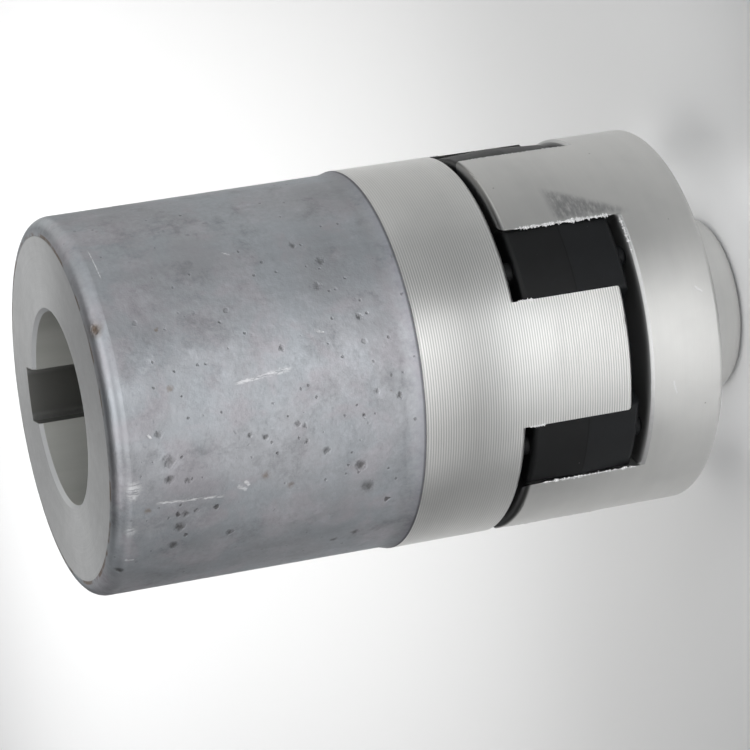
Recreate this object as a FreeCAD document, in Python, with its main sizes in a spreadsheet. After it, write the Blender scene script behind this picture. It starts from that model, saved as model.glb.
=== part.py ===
import FreeCAD, Part
import math
import os
import Sketcher

# Elastic jaw coupling: two light-alloy hubs with three jaws each, the elastomer spider between
# them, and a set screw over each keyway. The coupling stands on the short hub's boss, with the
# long hub's bore upwards. The origin is the middle of the boss's end face and Z is the shaft axis.
# Lengths are in millimetres and angles in degrees.

SIZES = [
    # Both hubs
    ("outer_diameter", 56.0, "turned outside of both hubs"),
    ("hub_gap", 19.5, "distance between the two hubs' faces"),
    ("root_edge", 0.4, "broken edge round each hub's face"),
    ("jaw_setback", 1.0, "jaws' inner faces outside the larger bore's wall"),
    ("jaw_root_radius", 0.6, "fillet where a jaw's flank meets the face"),
    ("bore_chamfer", 0.55, "chamfer at both ends of a bore"),
    # Long hub
    ("barrel_step", 1.3, "how much narrower the cast barrel's end is than the turned outside"),
    ("barrel_draft", 0.33, "mould draft of the cast barrel"),
    ("barrel_length", 43.7, "cast barrel, from the end face to the ramp"),
    ("ramp_length", 1.5, "cast ramp up to the turned band"),
    ("band_length", 15.2, "turned band, from the ramp to the jaw face"),
    ("barrel_edge_radius", 2.5, "cast rounding between barrel and end face"),
    ("long_jaw_gap", 3.0, "between the long hub's jaws and the short hub's face"),
    ("long_jaw_end_radius", 0.7, "rounding round their ends"),
    ("long_bore", 28.0, "long hub's shaft"),
    ("long_key_width", 8.0, "its keyway, across"),
    ("long_key_depth", 3.3, "its keyway, from the bore's wall outwards"),
    # Short hub
    ("flange_length", 11.3, "turned flange that carries the jaws"),
    ("flange_edge_radius", 0.6, "rounding of the flange's rear edge"),
    ("boss_diameter", 26.6, "boss behind the flange"),
    ("boss_length", 10.8, "boss, from the flange to its end"),
    ("boss_edge_radius", 1.6, "rounding of the boss's end"),
    ("boss_root_radius", 1.0, "fillet between boss and flange"),
    ("short_jaw_gap", 1.0, "between the short hub's jaws and the long hub's face"),
    ("short_jaw_end_radius", 1.0, "rounding round their ends"),
    ("short_bore", 14.0, "short hub's shaft"),
    ("short_key_width", 5.0, "its keyway, across"),
    ("short_key_depth", 2.3, "its keyway, from the bore's wall outwards"),
    # Spider
    ("rim_recess", 0.1, "legs' rim below the hubs' outside, at the mould's parting line"),
    ("side_gap", 1.6, "between the legs' sides and either hub's face"),
    ("spider_draft", 3.2, "mould draft of the legs' outer faces"),
    ("leg_width", 12.7, "widest part of a leg"),
    ("leg_crown_radius", 16.0, "crowned flank of a leg"),
    ("leg_crown_inset", 6.0, "from the hubs' outside in to a leg's widest part"),
    ("leg_edge_radius", 0.8, "moulded rounding of a leg's edges"),
    ("ring_wall", 5.1, "ring that joins the legs, from its hole to its outside"),
    ("nub_diameter", 3.2, "spacer nub on a leg's side"),
    ("nub_inset", 3.4, "from the hubs' outside in to a nub's middle"),
    ("nub_chamfer", 0.45, "bevel round a nub's end"),
    ("flank_clearance", 0.08, "between a leg and a jaw"),
    ("ring_clearance", 0.4, "between the ring and the jaws' inner faces"),
    ("nub_clearance", 0.1, "between a nub and a hub's face"),
    # Set screws
    ("long_screw_diameter", 8.0, "thread of the long hub's set screw"),
    ("long_screw_sink", 1.75, "its head below the barrel's end"),
    ("long_screw_socket", 4.0, "its hexagon socket, across flats"),
    ("long_screw_socket_depth", 3.8, "its hexagon socket, down to the floor"),
    ("long_screw_chamfer", 1.0, "chamfer at its point, and twice the one at its head"),
    ("long_screw_place", 20.0, "from the long hub's end face to the screw"),
    ("short_screw_diameter", 6.0, "thread of the short hub's set screw"),
    ("short_screw_sink", 8.4, "its head below the flange's outside"),
    ("short_screw_socket", 3.0, "its hexagon socket, across flats"),
    ("short_screw_socket_depth", 3.2, "its hexagon socket, down to the floor"),
    ("short_screw_chamfer", 0.8, "chamfer at its point, and twice the one at its head"),
    ("screw_tip_gap", 0.3, "between a screw's point and the keyway"),
    ("thread_clearance", 0.05, "round a screw, in its hole"),
]

JAWS = 3
LEGS = 2 * JAWS
# Angle of the leg to the right of the first jaw, which points along +Y
LEG_ANGLE = 90 - 180 / LEGS
TOLERANCE = 1e-4

OUTER_RADIUS = "sizes.outer_diameter / 2"
BARREL_END_RADIUS = "(sizes.outer_diameter - sizes.barrel_step) / 2"
CROWN_REACH = "(%s - sizes.leg_crown_inset)" % OUTER_RADIUS
NUB_REACH = "%s - sizes.nub_inset" % OUTER_RADIUS
LONG_HUB_LENGTH = "(sizes.barrel_length + sizes.ramp_length + sizes.band_length)"
SHORT_HUB_LENGTH = "(sizes.boss_length + sizes.flange_length)"
JAW_INNER_RADIUS = "(sizes.long_bore / 2 + sizes.jaw_setback)"
RING_RADIUS = "(%s - sizes.ring_clearance)" % JAW_INNER_RADIUS
SPIDER_WIDTH = "(sizes.hub_gap - 2 * sizes.side_gap)"
TOTAL_LENGTH = SHORT_HUB_LENGTH + " + sizes.hub_gap + " + LONG_HUB_LENGTH

doc = FreeCAD.newDocument("elastic_coupling")
sheet = doc.addObject("Spreadsheet::Sheet", "sizes")
for row, (alias, number, meaning) in enumerate(SIZES, 1):
    sheet.set("A%d" % row, meaning)
    sheet.set("B%d" % row, str(number))
    sheet.setAlias("B%d" % row, alias)
doc.recompute()


# Helpers for sketches and features


def value(formula):
    """What a formula in the sheet's sizes comes to."""
    return float(sheet.evalExpression(formula))


def turned(axis, angle):
    """A placement at the origin, turned about the X or Z axis."""
    direction = {"X": FreeCAD.Vector(1, 0, 0), "Z": FreeCAD.Vector(0, 0, 1)}[axis]
    return FreeCAD.Placement(FreeCAD.Vector(), FreeCAD.Rotation(direction, angle))


def new_body(label):
    body = doc.addObject("PartDesign::Body", label)
    body.Label = label
    return body


def origin_of(body, role):
    """One of the body's own origin planes or axes."""
    for feature in body.Origin.OriginFeatures:
        if feature.Role == role:
            return feature
    raise RuntimeError("no " + role)


def new_sketch(body, name, role="XY_Plane", lift=None):
    """A sketch on one of the body's own planes, raised from it by a formula."""
    sketch = body.newObject("Sketcher::SketchObject", name)
    sketch.AttachmentSupport = [(origin_of(body, role), "")]
    sketch.MapMode = "FlatFace"
    if lift:
        sketch.setExpression("AttachmentOffset.Base.z", lift)
    return sketch


def bind(sketch, name, formula, kind, *where):
    """A driving constraint whose value is a formula."""
    index = sketch.addConstraint(Sketcher.Constraint(kind, *where, value(formula)))
    sketch.renameConstraint(index, name)
    sketch.setExpression(".Constraints." + name, formula)


def pin(sketch, name, corner, geometry, point):
    """Hold one point at a corner given as two formulas, where None lies on an axis."""
    for axis, kind, formula in ((-2, "DistanceX", corner[0]), (-1, "DistanceY", corner[1])):
        if formula is None:
            sketch.addConstraint(Sketcher.Constraint("PointOnObject", geometry, point, axis))
        else:
            bind(sketch, name + kind[-1].lower(), formula, kind, geometry, point)


def place_of(corner):
    """The point of two formulas, where None is zero."""
    return FreeCAD.Vector(*[value(formula) if formula else 0.0 for formula in corner], 0)


def join_ends(sketch, count):
    """Join the ends of a closed run of lines, the first that the sketch holds."""
    for index in range(count):
        sketch.addConstraint(Sketcher.Constraint("Coincident", index, 2, (index + 1) % count, 1))


def draw_polygon(sketch, points):
    """A closed run of lines through points."""
    for index, point in enumerate(points):
        sketch.addGeometry(Part.LineSegment(point, points[(index + 1) % len(points)]), False)
    join_ends(sketch, len(points))


def draw_outline(sketch, corners):
    """A closed outline of straight lines through corners, each a name and two formulas."""
    draw_polygon(sketch, [place_of(corner[1:]) for corner in corners])
    for index, corner in enumerate(corners):
        pin(sketch, corner[0], corner[1:], index, 1)


def draw_circle(sketch, name, radius, centre=(None, None)):
    circle = Part.Circle(place_of(centre), FreeCAD.Vector(0, 0, 1), value(radius))
    index = sketch.addGeometry(circle, False)
    pin(sketch, name + "_at_", centre, index, 3)
    bind(sketch, name, radius, "Radius", index)


def draw_hexagon(sketch, across_flats):
    """A regular hexagon round the sketch's origin, with one corner on the first axis."""
    corner = value(across_flats) / math.sqrt(3)
    angles = [math.radians(60 * step) for step in range(6)]
    draw_polygon(sketch, [FreeCAD.Vector(corner * math.cos(a), corner * math.sin(a), 0) for a in angles])
    guide = sketch.addGeometry(Part.Circle(FreeCAD.Vector(), FreeCAD.Vector(0, 0, 1), corner), True)
    sketch.addConstraint(Sketcher.Constraint("Coincident", guide, 3, -1, 1))
    sketch.addConstraint(Sketcher.Constraint("PointOnObject", 0, 1, -1))
    for index in range(6):
        sketch.addConstraint(Sketcher.Constraint("PointOnObject", index, 1, guide))
    for index in range(1, 6):
        sketch.addConstraint(Sketcher.Constraint("Equal", 0, index))
    bind(sketch, "corner", across_flats + " / sqrt(3)", "Radius", guide)


def angle_of(point, centre):
    return math.atan2(point.y - centre.y, point.x - centre.x)


def crossing(reach, centre, radius):
    """Where a circle round the axis meets a flank's circle, on the jaw's side of it."""
    away = centre.Length
    along = (reach ** 2 - radius ** 2 + away ** 2) / (2 * away)
    across = math.sqrt(reach ** 2 - along ** 2)
    towards = centre / away
    sideways = FreeCAD.Vector(-towards.y, towards.x, 0)
    return towards * along + sideways * across


def draw_jaw(sketch, inner, outer, clearance):
    """The room between two legs, centred on +Y: two arcs round the axis and two concave flanks."""
    set_in = "(sizes.leg_crown_radius - sizes.leg_width / 2)"
    centre_x = "%s * cos(%g) + %s * sin(%g)" % (CROWN_REACH, LEG_ANGLE, set_in, LEG_ANGLE)
    centre_y = "%s * sin(%g) - %s * cos(%g)" % (CROWN_REACH, LEG_ANGLE, set_in, LEG_ANGLE)
    flank = "sizes.leg_crown_radius + " + clearance
    middle = FreeCAD.Vector(0, 0, 0)
    up = FreeCAD.Vector(0, 0, 1)
    right = place_of((centre_x, centre_y))
    left = FreeCAD.Vector(-right.x, right.y, 0)
    outer_right = crossing(value(outer), right, value(flank))
    inner_right = crossing(value(inner), right, value(flank))
    outer_left = FreeCAD.Vector(-outer_right.x, outer_right.y, 0)
    inner_left = FreeCAD.Vector(-inner_right.x, inner_right.y, 0)
    arcs = [
        (middle, value(outer), outer_right, outer_left),
        (left, value(flank), inner_left, outer_left),
        (middle, value(inner), inner_right, inner_left),
        (right, value(flank), outer_right, inner_right),
    ]
    for centre, radius, start, end in arcs:
        circle = Part.Circle(centre, up, radius)
        arc = Part.ArcOfCircle(circle, angle_of(start, centre), angle_of(end, centre))
        sketch.addGeometry(arc, False)
    for index in (0, 2):
        sketch.addConstraint(Sketcher.Constraint("Coincident", index, 3, -1, 1))
    for first, first_end, second, second_end in ((0, 1, 3, 1), (0, 2, 1, 2), (2, 1, 3, 2), (2, 2, 1, 1)):
        sketch.addConstraint(Sketcher.Constraint("Coincident", first, first_end, second, second_end))
    sketch.addConstraint(Sketcher.Constraint("Symmetric", 3, 3, 1, 3, -2))
    sketch.addConstraint(Sketcher.Constraint("Equal", 3, 1))
    bind(sketch, "outer", outer, "Radius", 0)
    bind(sketch, "inner", inner, "Radius", 2)
    bind(sketch, "flank", flank, "Radius", 3)
    bind(sketch, "flank_x", centre_x, "DistanceX", 3, 3)
    bind(sketch, "flank_y", centre_y, "DistanceY", 3, 3)


def revolve(body, sketch, name):
    """Turn an outline about the body's Z axis."""
    feature = body.newObject("PartDesign::Revolution", name)
    feature.Profile = sketch
    feature.ReferenceAxis = (sketch, ["V_Axis"])
    feature.Angle = 360
    doc.recompute()
    return feature


def pad(body, sketch, name, length, downwards=False):
    feature = body.newObject("PartDesign::Pad", name)
    feature.Profile = sketch
    feature.Reversed = downwards
    feature.setExpression("Length", length)
    doc.recompute()
    return feature


def pocket(body, sketch, name, upwards, depth=None):
    """Cut a sketch's outline out of the body, right through it where no depth is given."""
    volume = body.Shape.Volume
    feature = body.newObject("PartDesign::Pocket", name)
    feature.Profile = sketch
    feature.Reversed = upwards
    if depth:
        feature.setExpression("Length", depth)
    else:
        feature.Type = "ThroughAll"
    doc.recompute()
    if not feature.Shape.Volume < volume:
        raise RuntimeError(name + " cuts nothing")
    return feature


def repeat(body, originals, name, count):
    """Copy features round the body's Z axis."""
    feature = body.newObject("PartDesign::PolarPattern", name)
    feature.Originals = originals
    feature.Axis = (origin_of(body, "Z_Axis"), [""])
    feature.Angle = 360
    feature.Occurrences = count
    body.Tip = feature
    doc.recompute()
    return feature


def edges_where(body, wanted):
    """Names of the edges whose two ends and middle, given as a list, satisfy a test."""
    names = []
    for index, edge in enumerate(body.Shape.Edges, 1):
        first, last = edge.ParameterRange
        if wanted([edge.valueAt(first + (last - first) * share) for share in (0, 0.5, 1)]):
            names.append("Edge%d" % index)
    return names


def dress(body, kind, name, amount, wanted):
    """Fillet or chamfer the edges that satisfy a test."""
    base = body.Tip
    names = edges_where(body, wanted)
    if not names:
        raise RuntimeError(name + " finds no edge")
    feature = body.newObject("PartDesign::" + kind, name)
    feature.Base = (base, names)
    feature.setExpression("Radius" if kind == "Fillet" else "Size", amount)
    doc.recompute()
    return feature


def reach_of(point):
    return math.hypot(point.x, point.y)


def level(points, height):
    """Whether points all lie at one height."""
    return all(abs(point.z - height) < TOLERANCE for point in points)


def about_axis(points, radius):
    """Whether points all lie at one distance from the Z axis."""
    return all(abs(reach_of(point) - radius) < TOLERANCE for point in points)


# Hubs


def add_jaws(body, hub_length, jaw_gap, end_radius):
    """Three jaws on a hub's face, centred on +Y, with a root in the hub's body."""
    jaw_length = "(sizes.hub_gap - %s)" % jaw_gap
    seat = "2 * sizes.root_edge"
    face = value(hub_length)
    tip = face + value(jaw_length)
    sketch = new_sketch(body, "jaw_outline", lift=hub_length + " - " + seat)
    draw_jaw(sketch, JAW_INNER_RADIUS, OUTER_RADIUS, "sizes.flank_clearance")
    jaw = pad(body, sketch, "jaw", jaw_length + " + " + seat)
    repeat(body, [jaw], "jaws", JAWS)

    def at_root(points):
        runs_outwards = abs(reach_of(points[0]) - reach_of(points[2])) > value("sizes.jaw_root_radius")
        return level(points, face) and runs_outwards

    dress(body, "Fillet", "jaw_roots", "sizes.jaw_root_radius", at_root)
    dress(body, "Fillet", "jaw_ends", end_radius, lambda points: level(points, tip))


def add_bore(body, bore, key_width, key_depth, hub_length, opposite):
    """A chamfered bore, and a keyway on +Y, or on -Y where it lies opposite the first jaw."""
    radius = bore + " / 2"
    sketch = new_sketch(body, "bore_outline")
    draw_circle(sketch, "bore_radius", radius)
    pocket(body, sketch, "bore", upwards=True)
    ends = (0.0, value(hub_length))

    def at_mouth(points):
        return about_axis(points, value(radius)) and any(level(points, end) for end in ends)

    dress(body, "Chamfer", "bore_chamfers", "sizes.bore_chamfer", at_mouth)
    sketch = new_sketch(body, "keyway_outline")
    if opposite:
        sketch.AttachmentOffset = turned("Z", 180)
    half = value(key_width) / 2
    floor = radius + " + " + key_depth
    corners = ((half, 0), (half, value(floor)), (-half, value(floor)), (-half, 0))
    draw_polygon(sketch, [FreeCAD.Vector(x, y, 0) for x, y in corners])
    sketch.addConstraint(Sketcher.Constraint("Symmetric", 1, 1, 1, 2, -2))
    sketch.addConstraint(Sketcher.Constraint("Vertical", 0))
    sketch.addConstraint(Sketcher.Constraint("Vertical", 2))
    sketch.addConstraint(Sketcher.Constraint("PointOnObject", 3, 1, -1))
    sketch.addConstraint(Sketcher.Constraint("PointOnObject", 3, 2, -1))
    bind(sketch, "width", key_width, "Distance", 1)
    bind(sketch, "floor", floor, "DistanceY", 1, 1)
    pocket(body, sketch, "keyway", upwards=True)


def add_screw_hole(body, diameter, place, opposite):
    """A tapped hole from the outside to the keyway, square to the shaft."""
    sketch = new_sketch(body, "screw_hole_outline", "XZ_Plane")
    draw_circle(sketch, "hole_radius", diameter + " / 2 + sizes.thread_clearance", (None, place))
    pocket(body, sketch, "screw_hole", upwards=opposite)


def make_long_hub():
    """Cast barrel, ramp and turned band, with the keyed bore; its jaws point along +Z."""
    body = new_body("long_hub")
    sketch = new_sketch(body, "hub_outline", "XZ_Plane")
    ramp_start = BARREL_END_RADIUS + " + sizes.barrel_length * tan(sizes.barrel_draft)"
    draw_outline(sketch, [
        ("axis_end", None, None),
        ("barrel_end", BARREL_END_RADIUS, None),
        ("ramp_start", ramp_start, "sizes.barrel_length"),
        ("band_start", OUTER_RADIUS, "sizes.barrel_length + sizes.ramp_length"),
        ("band_end", OUTER_RADIUS, LONG_HUB_LENGTH + " - sizes.root_edge"),
        ("face", OUTER_RADIUS + " - sizes.root_edge", LONG_HUB_LENGTH),
        ("axis_face", None, LONG_HUB_LENGTH),
    ])
    revolve(body, sketch, "blank")
    dress(body, "Fillet", "barrel_edge", "sizes.barrel_edge_radius", lambda points: level(points, 0))
    add_jaws(body, LONG_HUB_LENGTH, "sizes.long_jaw_gap", "sizes.long_jaw_end_radius")
    add_bore(body, "sizes.long_bore", "sizes.long_key_width", "sizes.long_key_depth", LONG_HUB_LENGTH, True)
    add_screw_hole(body, "sizes.long_screw_diameter", "sizes.long_screw_place", True)
    body.Placement = turned("X", 180)
    body.setExpression("Placement.Base.z", TOTAL_LENGTH)
    return body


def make_short_hub():
    """Boss and turned flange, with the smaller keyed bore; its jaws point along +Z."""
    body = new_body("short_hub")
    sketch = new_sketch(body, "hub_outline", "XZ_Plane")
    boss = "sizes.boss_diameter / 2"
    draw_outline(sketch, [
        ("axis_end", None, None),
        ("boss_end", boss, None),
        ("boss_root", boss, "sizes.boss_length"),
        ("flange_rear", OUTER_RADIUS, "sizes.boss_length"),
        ("flange_front", OUTER_RADIUS, SHORT_HUB_LENGTH + " - sizes.root_edge"),
        ("face", OUTER_RADIUS + " - sizes.root_edge", SHORT_HUB_LENGTH),
        ("axis_face", None, SHORT_HUB_LENGTH),
    ])
    revolve(body, sketch, "blank")

    def ring_at(radius, height):
        return lambda points: about_axis(points, value(radius)) and level(points, value(height))

    dress(body, "Fillet", "boss_edge", "sizes.boss_edge_radius", lambda points: level(points, 0))
    dress(body, "Fillet", "boss_root", "sizes.boss_root_radius", ring_at(boss, "sizes.boss_length"))
    dress(body, "Fillet", "flange_edge", "sizes.flange_edge_radius", ring_at(OUTER_RADIUS, "sizes.boss_length"))
    add_jaws(body, SHORT_HUB_LENGTH, "sizes.short_jaw_gap", "sizes.short_jaw_end_radius")
    add_bore(body, "sizes.short_bore", "sizes.short_key_width", "sizes.short_key_depth",
             SHORT_HUB_LENGTH, False)
    add_screw_hole(body, "sizes.short_screw_diameter", "sizes.boss_length + sizes.flange_length / 2", False)
    return body


# Spider


def make_spider():
    """One moulding: a centre ring with six crowned legs, drafted rim and spacer nubs."""
    body = new_body("spider")
    rim = OUTER_RADIUS + " - sizes.rim_recess"
    rim_side = rim + " - %s / 2 * tan(sizes.spider_draft)" % SPIDER_WIDTH
    hole = RING_RADIUS + " - sizes.ring_wall"
    sketch = new_sketch(body, "disc_outline", "XZ_Plane")
    draw_outline(sketch, [
        ("hole_low", hole, None),
        ("side_low", rim_side, None),
        ("parting", rim, SPIDER_WIDTH + " / 2"),
        ("side_high", rim_side, SPIDER_WIDTH),
        ("hole_high", hole, SPIDER_WIDTH),
    ])
    revolve(body, sketch, "disc")
    sketch = new_sketch(body, "window_outline")
    draw_jaw(sketch, RING_RADIUS, OUTER_RADIUS + " + sizes.leg_edge_radius", "0")
    window = pocket(body, sketch, "window", upwards=True)
    repeat(body, [window], "windows", LEGS)

    def on_leg(points):
        parting = level(points, value(SPIDER_WIDTH + " / 2"))
        return min(reach_of(point) for point in points) > value(RING_RADIUS) + TOLERANCE and not parting

    dress(body, "Fillet", "leg_edges", "sizes.leg_edge_radius", on_leg)
    nub_height = "sizes.side_gap - sizes.nub_clearance"
    sketch = new_sketch(body, "high_nub_outline", lift=SPIDER_WIDTH)
    draw_circle(sketch, "nub_radius", "sizes.nub_diameter / 2", (NUB_REACH, None))
    high_nub = pad(body, sketch, "high_nub", nub_height)
    sketch = new_sketch(body, "low_nub_outline")
    draw_circle(sketch, "nub_radius", "sizes.nub_diameter / 2", (NUB_REACH, None))
    low_nub = pad(body, sketch, "low_nub", nub_height, downwards=True)
    repeat(body, [high_nub, low_nub], "nubs", LEGS)
    high_end = value(SPIDER_WIDTH + " + " + nub_height)
    low_end = -value(nub_height)

    def at_nub_end(points):
        return level(points, high_end) or level(points, low_end)

    dress(body, "Chamfer", "nub_edges", "sizes.nub_chamfer", at_nub_end)
    body.setExpression("Placement.Base.z", SHORT_HUB_LENGTH + " + sizes.side_gap")
    return body


# Set screws


def make_screw(label, prefix, bore, key_depth, outside, height):
    """A flat-point set screw along +Z with a hexagon socket, laid along +Y over the keyway."""
    body = new_body(label)
    radius = prefix + "diameter / 2"
    tip = bore + " / 2 + " + key_depth + " + sizes.screw_tip_gap"
    length = "(%s - %ssink - (%s))" % (outside, prefix, tip)
    socket = prefix + "socket"
    chamfer = prefix + "chamfer"
    sketch = new_sketch(body, "screw_outline", "XZ_Plane")
    draw_outline(sketch, [
        ("axis_point", None, None),
        ("point_edge", radius + " - " + chamfer, None),
        ("thread_start", radius, chamfer),
        ("thread_end", radius, length + " - " + chamfer + " / 2"),
        ("head_edge", radius + " - " + chamfer + " / 2", length),
        ("axis_head", None, length),
    ])
    revolve(body, sketch, "shank")
    sketch = new_sketch(body, "socket_outline", lift=length)
    draw_hexagon(sketch, socket)
    pocket(body, sketch, "socket", upwards=False, depth=prefix + "socket_depth")
    body.Placement = turned("X", -90)
    body.setExpression("Placement.Base.y", tip)
    body.setExpression("Placement.Base.z", height)
    return body


bodies = [
    make_long_hub(),
    make_short_hub(),
    make_spider(),
    make_screw("long_hub_screw", "sizes.long_screw_", "sizes.long_bore", "sizes.long_key_depth",
               BARREL_END_RADIUS, TOTAL_LENGTH + " - sizes.long_screw_place"),
    make_screw("short_hub_screw", "sizes.short_screw_", "sizes.short_bore", "sizes.short_key_depth",
               OUTER_RADIUS, "sizes.boss_length + sizes.flange_length / 2"),
]
doc.recompute()

for item in doc.Objects:
    if "Invalid" in item.State or "Error" in item.State:
        raise RuntimeError(item.Name + " failed")
for body in bodies:
    if body.Shape.isNull() or not body.Shape.isValid() or len(body.Shape.Solids) != 1:
        raise RuntimeError(body.Label + " is not one good solid")

os.makedirs("parts", exist_ok=True)
for body in bodies:
    body.Shape.exportStep("parts/" + body.Label + ".step")
    print("%-16s %10.1f mm3" % (body.Label, body.Shape.Volume))
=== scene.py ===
"""Elastic jaw coupling: finishes, burrs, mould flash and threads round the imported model, and the studio."""

import math
import random

import bpy
from mathutils import Matrix, Vector


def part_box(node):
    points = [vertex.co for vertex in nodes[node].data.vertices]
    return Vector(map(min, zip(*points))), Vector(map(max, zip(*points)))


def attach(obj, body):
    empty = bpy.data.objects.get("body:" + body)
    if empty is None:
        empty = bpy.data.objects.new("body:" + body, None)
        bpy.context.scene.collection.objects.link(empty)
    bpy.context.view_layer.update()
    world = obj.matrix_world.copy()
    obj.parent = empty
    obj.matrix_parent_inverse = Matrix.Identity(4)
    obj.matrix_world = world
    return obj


bl_info = {
    "name": "Elastic Coupling Finish",
    "version": (1, 0, 0),
    "blender": (4, 5, 0),
    "location": "3D View > Sidebar > Coupling",
    "description": "Finishes, burrs, mould flash and threads of an elastic jaw coupling",
    "category": "Object",
}

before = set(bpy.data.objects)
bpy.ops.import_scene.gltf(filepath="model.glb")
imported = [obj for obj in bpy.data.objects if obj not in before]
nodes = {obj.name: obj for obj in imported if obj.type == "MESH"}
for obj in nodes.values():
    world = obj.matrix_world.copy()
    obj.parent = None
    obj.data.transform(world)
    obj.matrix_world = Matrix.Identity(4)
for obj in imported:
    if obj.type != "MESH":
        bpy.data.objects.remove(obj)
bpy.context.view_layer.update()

MM = 0.001
LEGS = 6
JAW_MIDDLE = 30  # degrees from one hub's jaw to the next leg of the spider
JAW_EDGE = 11.25  # degrees from a leg's middle to the jaw edge beside it, on the outside
short_low, short_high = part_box("short_hub")
long_low, long_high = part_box("long_hub")
spider_low, spider_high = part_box("spider")
long_screw_low, long_screw_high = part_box("long_hub_screw")
short_screw_low, short_screw_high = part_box("short_hub_screw")
OUTER = -long_low.y / MM
TOP = long_high.z / MM
PARTING = (spider_low.z + spider_high.z) / 2 / MM
GAP_LOW = spider_low.z / MM - 0.1  # the two hubs' faces, a hair outside the spider's nubs
GAP_HIGH = spider_high.z / MM + 0.1
SHORT_TIP = short_high.z / MM
SPIDER_HOLE = 9.52  # half its width
DRAFT = 0.55  # how far the cast barrel's end lies inside the turned band
ROUNDING = 2.5  # of the cast barrel's end
SKIN_START = 56.8  # where the turned band ends and the cast skin starts
RAMP_START = 58.3  # where the cast barrel starts to widen towards the turned band
RAMP_SLOPE = 0.265
RAMP_BLEND = 1.45  # how far the shaded fillet in the ramp's crease reaches
LONG_BORE = 14.0  # the bores' radii and that of the long one's end chamfer
LONG_CHAMFER = 14.6
SHORT_BORE = 7.0

# Marks on the cast barrel: angle, height and width in millimetres and, for pits and stains, how dark
SKIN_PITS = (
    (-67.9, 64.3, 1.1, 0.7), (-41.6, 70.4, 1.1, 0.6), (-48.8, 67.5, 1.6, 0.6), (-56.9, 69.0, 1.3, 0.5),
    (-90.2, 63.6, 0.9, 0.8), (-92.5, 60.3, 1.1, 0.9), (-96.6, 65.8, 0.8, 0.9), (-98.2, 80.2, 0.9, 0.7),
    (-101.6, 74.3, 0.8, 0.6), (-105.5, 71.4, 1.2, 0.7), (-92.1, 95.2, 1.2, 0.5), (-100.5, 94.0, 2.2, 0.6),
    (-106.3, 94.1, 1.4, 0.8), (-107.4, 91.5, 1.1, 0.6), (-112.2, 66.4, 1.8, 0.9), (-120.3, 65.1, 2.2, 0.8),
    (-123.5, 92.6, 1.7, 0.9), (-118.9, 91.8, 1.2, 0.7), (-130.8, 93.3, 1.7, 0.8), (-129.5, 85.1, 1.3, 0.7),
    (-143.7, 68.6, 1.2, 0.7), (-140.9, 65.7, 1.4, 0.8), (-73.5, 76.2, 0.9, 0.6), (-97.0, 82.4, 0.7, 0.7),
    (-140.0, 100.6, 1.4, 1.0), (-59.0, 101.2, 1.7, 1.0), (60.0, 80.0, 1.4, 0.8), (140.0, 88.0, 1.2, 0.7),
    (10.0, 74.0, 1.3, 0.8))
STAINS = (
    (-118.0, 91.0, 17.0, 0.75), (-50.0, 66.0, 19.0, 0.6), (-68.0, 96.0, 15.0, 0.8), (-86.0, 97.0, 12.0, 0.8),
    (-112.0, 97.0, 11.0, 0.6), (-40.0, 84.0, 12.0, 0.3), (-128.0, 70.0, 13.0, 0.5), (-20.0, 62.0, 12.0, 0.6),
    (-70.0, 62.0, 8.0, 0.4), (-76.0, 100.6, 9.0, 0.35), (-98.0, 100.8, 11.0, 0.8), (-122.0, 100.8, 8.0, 0.35),
    (90.0, 70.0, 18.0, 0.7), (150.0, 84.0, 16.0, 0.6), (30.0, 92.0, 14.0, 0.6))
# Bright spots: partly rubbed skin, partly painted highlights on the front of the barrel and on its rounded
# end.
RUBBED_AND_HIGHLIGHT_SPOTS = (
    (-79.0, 98.0, 6.0), (-80.0, 66.5, 9.0), (-66.0, 100.6, 5.0), (-92.0, 99.0, 5.0), (-104.0, 86.0, 6.0),
    (-74.0, 58.5, 7.0), (-22.0, 97.0, 7.0), (120.0, 92.0, 8.0))
RUST_SPOTS = (
    (-59.0, 101.2, 3.0), (-79.9, 92.8, 1.2), (-110.1, 80.4, 1.5), (-114.7, 76.7, 1.3), (-115.4, 97.3, 1.2),
    (-62.5, 93.0, 0.7), (110.0, 78.0, 1.4))
BRUISES = (
    (-107.2, 99.3, 2.6), (-109.6, 99.5, 1.8), (-121.9, 99.7, 2.0))
# Scratches and nicks: angle, height, length, half the width, how far they tip off the axis, how ragged
NICKS = (
    (-80.6, 79.6, 9.0, 0.34, -6.3, 0.5), (-80.1, 77.4, 3.6, 0.55, -6.3, 0.6),
    (-114.0, 91.3, 10.5, 0.26, 4.0, 0.45), (-112.9, 83.8, 1.8, 0.42, 30.0, 0.5),
    (-111.6, 83.1, 1.2, 0.36, 60.0, 0.5), (-134.5, 99.4, 1.5, 0.25, 10.0, 0.4),
    (-92.5, 96.6, 1.0, 0.25, 60.0, 0.4), (-70.5, 70.5, 1.6, 0.22, 20.0, 0.6),
    (-37.0, 98.5, 6.5, 0.13, 88.0, 0.2), (-41.1, 80.2, 1.4, 0.25, 40.0, 0.4),
    (70.0, 84.0, 6.0, 0.16, 12.0, 0.5), (150.0, 70.0, 8.0, 0.15, -9.0, 0.5),
    (15.0, 92.0, 3.0, 0.2, 35.0, 0.5))
FLANGE_NICKS = (
    (-76.0, 13.5, 1.6, 0.2, 40.0, 0.5), (-104.0, 18.5, 2.4, 0.16, 75.0, 0.5),
    (20.0, 15.0, 2.0, 0.16, 50.0, 0.4), (130.0, 17.0, 3.0, 0.16, 65.0, 0.4))

# Studio lights
WARM, COOL, WHITE = (1.0, 0.995, 0.965), (0.91, 0.965, 1.0), (1.0, 1.0, 1.0)
FRONT_REACH = 170  # from the shaft axis
FRONT_HEIGHT = 105
# Azimuth and brightness of the softboxes in front
FRONT_ARC = ((-146, 0.13), (-122, 0.14), (-98, 0.24), (-74, 0.36), (-50, 0.03), (-26, 0.035), (-2, 0.08))
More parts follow.
